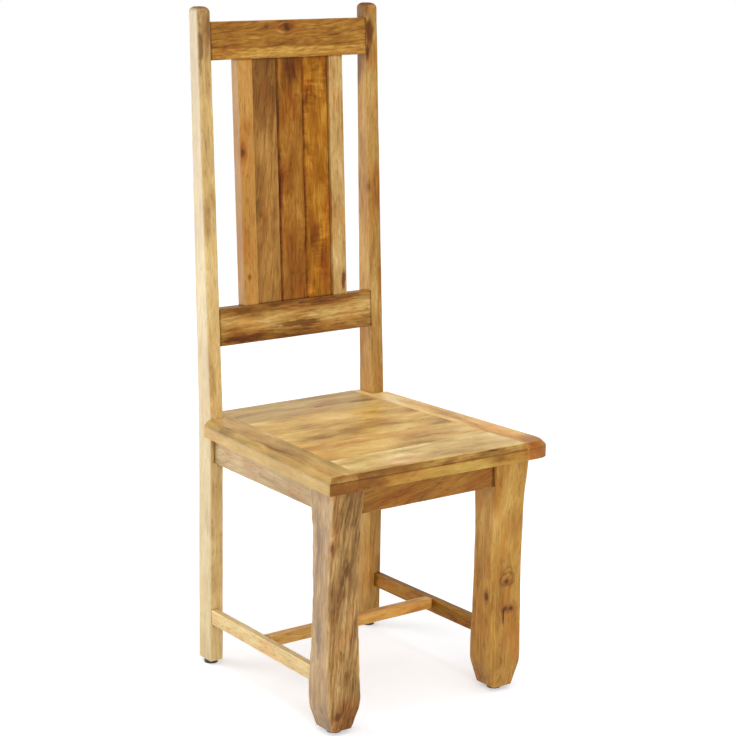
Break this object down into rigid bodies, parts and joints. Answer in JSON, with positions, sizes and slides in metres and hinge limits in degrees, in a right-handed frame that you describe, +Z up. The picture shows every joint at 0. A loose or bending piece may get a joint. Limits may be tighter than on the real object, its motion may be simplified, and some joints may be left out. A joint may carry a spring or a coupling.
{
  "type": "dining chair",
  "caption": "Rustic solid-wood high-back chair: raked posts, boarded back panel, flared plank seat, shaped front legs and an H stretcher under the seat.",
  "frame": {"origin": "middle of the chair's box, on the floor", "axes": "+Z up; the chair faces -Y; +X is to the right of someone who looks at its front"},
  "size_m": [0.4488, 0.4878, 1.147],
  "materials": {
    "post_wood": "satin lacquer",
    "leg_wood": "satin lacquer",
    "rail_wood": "satin lacquer",
    "panel_wood": "satin lacquer",
    "seat_wood": "satin lacquer",
    "apron_wood": "satin lacquer",
    "stretcher_wood": "satin lacquer",
    "block_wood": "satin lacquer",
    "glide_plastic": "moulded",
    "fastener_steel": "zinc plated"
  },
  "bodies": {
    "root": {"rear_post_left": "post_wood", "rear_post_right": "post_wood", "front_leg_left": "leg_wood", "front_leg_right": "leg_wood", "top_rail": "rail_wood", "lower_back_rail": "rail_wood", "back_slat_left": "panel_wood", "back_slat_right": "panel_wood", "back_board_left": "panel_wood", "back_board_centre": "panel_wood", "back_board_right": "panel_wood", "seat_side_board_left": "seat_wood", "seat_side_board_right": "seat_wood", "seat_cross_board_1": "seat_wood", "seat_cross_board_2": "seat_wood", "seat_cross_board_3": "seat_wood", "seat_cross_board_4": "seat_wood", "seat_cross_board_5": "seat_wood", "front_apron": "apron_wood", "rear_apron": "apron_wood", "side_apron_left": "apron_wood", "side_apron_right": "apron_wood", "side_stretcher_left": "stretcher_wood", "side_stretcher_right": "stretcher_wood", "cross_stretcher": "stretcher_wood", "corner_block_front_left": "block_wood", "corner_block_front_right": "block_wood", "corner_block_rear_left": "block_wood", "corner_block_rear_right": "block_wood", "glide_front_left": "glide_plastic", "glide_front_right": "glide_plastic", "glide_rear_left": "glide_plastic", "glide_rear_right": "glide_plastic", "corner_block_screws": "fastener_steel", "seat_screws": "fastener_steel", "glide_nails": "fastener_steel"}
  },
  "joints": []
}
